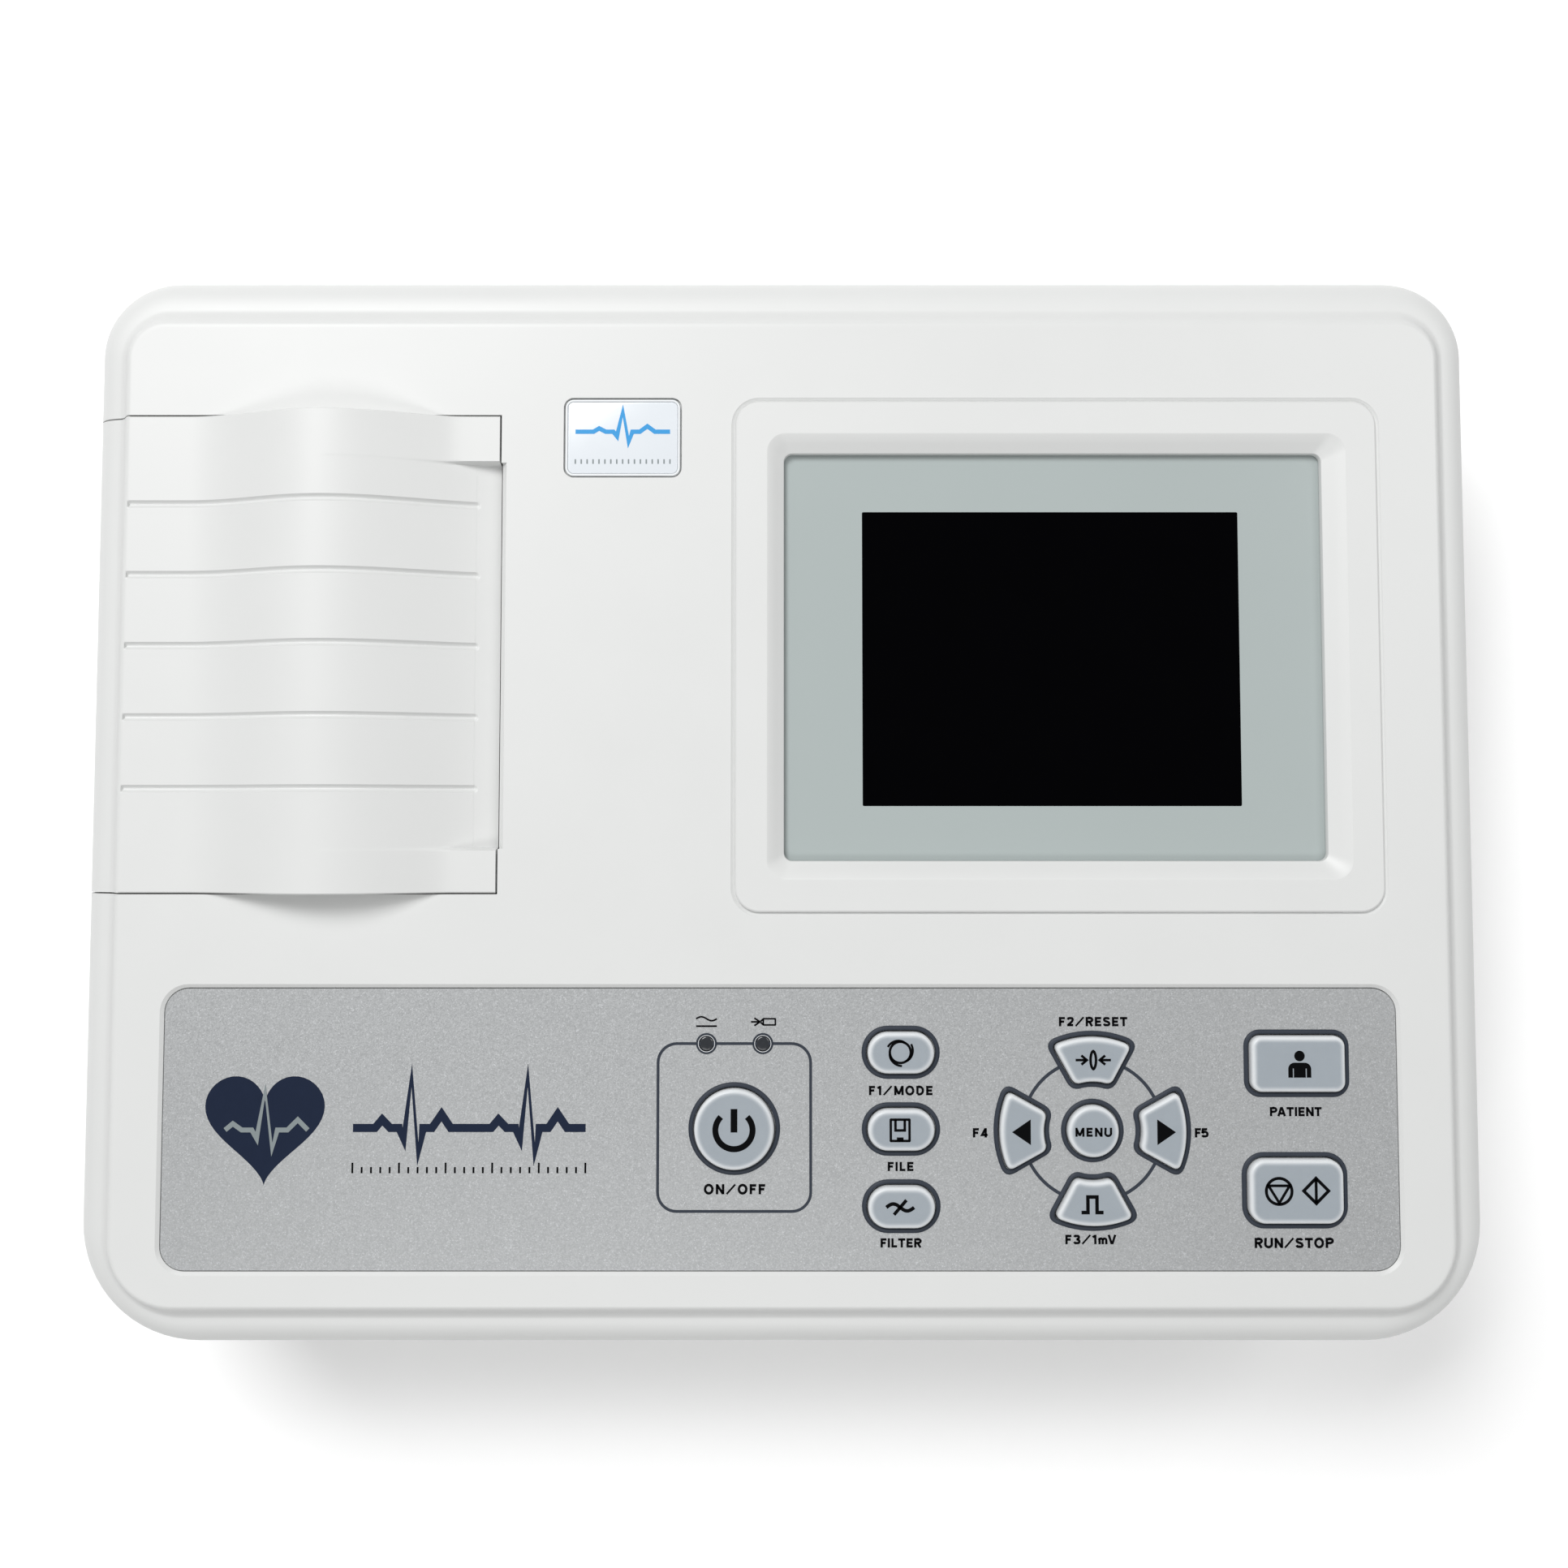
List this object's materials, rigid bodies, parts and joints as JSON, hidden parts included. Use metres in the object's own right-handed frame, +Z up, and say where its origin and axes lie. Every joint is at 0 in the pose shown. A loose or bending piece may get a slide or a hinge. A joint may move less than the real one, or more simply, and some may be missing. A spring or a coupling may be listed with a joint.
{
  "type": "ecg machine",
  "caption": "Portable desktop ECG recorder with a ribbed hinged lid over a paper roll, a small display and a front key panel.",
  "frame": {"origin": "middle of the case in plan, on the table under the feet", "axes": "+X to the user's right, +Y away from the user, +Z up"},
  "size_m": [0.3, 0.23, 0.074],
  "materials": {
    "case": "satin moulded ABS, off-white",
    "badge": "smooth white plate",
    "screw_steel": "zinc-plated steel",
    "foot_rubber": "soft rubber",
    "window": "smooth grey-green printed window",
    "lcd": "black liquid-crystal glass",
    "sheet_metal": "bare sheet",
    "panel": "silver film with a fine metallic fleck",
    "key": "translucent grey silicone",
    "mat": "moulded silicone",
    "board": "solder-masked circuit board",
    "lamp": "smoked lens, unlit",
    "shaft_steel": "ground steel",
    "chassis": "grey moulded plastic",
    "platen_rubber": "ground rubber",
    "gear": "natural acetal",
    "brass": "turned brass",
    "head": "glazed ceramic strip on a heat sink",
    "paper": "white thermal chart paper",
    "spindle": "dark moulded plastic",
    "transformer": "laminated core with dark winding",
    "battery": "blue shrink sleeve",
    "speaker": "black paper cone in a frame",
    "connector": "nickel-plated shell",
    "inlet": "black moulded plastic"
  },
  "bodies": {
    "root": {"top_case": "case", "bottom_case": "case", "battery_cover": "case", "badge_plate": "badge", "case_screw_1": "screw_steel", "case_screw_2": "screw_steel", "case_screw_3": "screw_steel", "case_screw_4": "screw_steel", "battery_cover_screw": "screw_steel", "foot_1": "foot_rubber", "foot_2": "foot_rubber", "foot_3": "foot_rubber", "foot_4": "foot_rubber", "display_window": "window", "lcd_panel": "lcd", "lcd_frame": "sheet_metal", "signal_shield": "sheet_metal", "keypad_panel": "panel", "keypad_mat": "mat", "key_board": "board", "main_board": "board", "power_board": "board", "mains_lamp": "lamp", "battery_lamp": "lamp", "lid_hinge_pin": "shaft_steel", "head_pivot_pin": "shaft_steel", "head_spring_front": "shaft_steel", "head_spring_back": "shaft_steel", "drive_motor": "shaft_steel", "printer_chassis": "chassis", "ground_terminal": "brass", "mains_transformer": "transformer", "battery_pack": "battery", "speaker": "speaker", "patient_socket": "connector", "aux_socket": "connector", "mains_inlet": "inlet"},
    "lid": {"printer_lid": "case", "platen_bush_front": "brass", "platen_bush_back": "brass"},
    "platen": {"platen_shaft": "shaft_steel", "platen_roller": "platen_rubber", "platen_gear": "gear"},
    "idler": {"idler_gear": "gear"},
    "pinion": {"motor_pinion": "brass"},
    "print_head": {"print_head": "head"},
    "paper": {"paper_roll": "paper", "paper_spindle": "spindle"},
    "power_key": {"power_key": "key"},
    "mode_key": {"mode_key": "key"},
    "file_key": {"file_key": "key"},
    "filter_key": {"filter_key": "key"},
    "menu_key": {"menu_key": "key"},
    "reset_key": {"reset_key": "key"},
    "calibration_key": {"calibration_key": "key"},
    "left_key": {"left_key": "key"},
    "right_key": {"right_key": "key"},
    "patient_key": {"patient_key": "key"},
    "run_stop_key": {"run_stop_key": "key"}
  },
  "joints": [
    {"name": "lid_hinge", "type": "hinge", "parent": "root", "child": "lid", "pos_m": [-0.147, 0, 0.041], "axis": [0, -1, 0], "range_deg": [0, 90]},
    {"name": "paper_spin", "type": "hinge", "parent": "root", "child": "paper", "pos_m": [-0.104, 0, 0.0365], "axis": [0, -1, 0], "continuous": true},
    {"name": "platen_spin", "type": "hinge", "parent": "lid", "child": "platen", "pos_m": [-0.07, 0, 0.053], "axis": [0, -1, 0], "continuous": true},
    {"name": "idler_spin", "type": "hinge", "parent": "root", "child": "idler", "pos_m": [-0.064, 0, 0.03059], "axis": [0, -1, 0], "continuous": true},
    {"name": "pinion_spin", "type": "hinge", "parent": "root", "child": "pinion", "pos_m": [-0.04352, 0, 0.02698], "axis": [0, -1, 0], "continuous": true},
    {"name": "head_pivot", "type": "hinge", "parent": "root", "child": "print_head", "pos_m": [-0.0605, 0, 0.0415], "axis": [0, 1, 0], "range_deg": [0, 2], "stiffness_Nm_per_rad": 2},
    {"name": "power_press", "type": "slide", "parent": "root", "child": "power_key", "axis": [0, 0, -1], "range_m": [0, 0.0012], "stiffness_N_per_m": 800},
    {"name": "mode_press", "type": "slide", "parent": "root", "child": "mode_key", "axis": [0, 0, -1], "range_m": [0, 0.0012], "stiffness_N_per_m": 800},
    {"name": "file_press", "type": "slide", "parent": "root", "child": "file_key", "axis": [0, 0, -1], "range_m": [0, 0.0012], "stiffness_N_per_m": 800},
    {"name": "filter_press", "type": "slide", "parent": "root", "child": "filter_key", "axis": [0, 0, -1], "range_m": [0, 0.0012], "stiffness_N_per_m": 800},
    {"name": "menu_press", "type": "slide", "parent": "root", "child": "menu_key", "axis": [0, 0, -1], "range_m": [0, 0.0012], "stiffness_N_per_m": 800},
    {"name": "reset_press", "type": "slide", "parent": "root", "child": "reset_key", "axis": [0, 0, -1], "range_m": [0, 0.0012], "stiffness_N_per_m": 800},
    {"name": "calibration_press", "type": "slide", "parent": "root", "child": "calibration_key", "axis": [0, 0, -1], "range_m": [0, 0.0012], "stiffness_N_per_m": 800},
    {"name": "left_press", "type": "slide", "parent": "root", "child": "left_key", "axis": [0, 0, -1], "range_m": [0, 0.0012], "stiffness_N_per_m": 800},
    {"name": "right_press", "type": "slide", "parent": "root", "child": "right_key", "axis": [0, 0, -1], "range_m": [0, 0.0012], "stiffness_N_per_m": 800},
    {"name": "patient_press", "type": "slide", "parent": "root", "child": "patient_key", "axis": [0, 0, -1], "range_m": [0, 0.0012], "stiffness_N_per_m": 800},
    {"name": "run_stop_press", "type": "slide", "parent": "root", "child": "run_stop_key", "axis": [0, 0, -1], "range_m": [0, 0.0012], "stiffness_N_per_m": 800}
  ],
  "couplings": [
    {"joint": "platen_spin", "follows": "paper_spin", "ratio": 4.1667},
    {"joint": "idler_spin", "follows": "paper_spin", "ratio": -1.875},
    {"joint": "pinion_spin", "follows": "paper_spin", "ratio": 6.25}
  ]
}
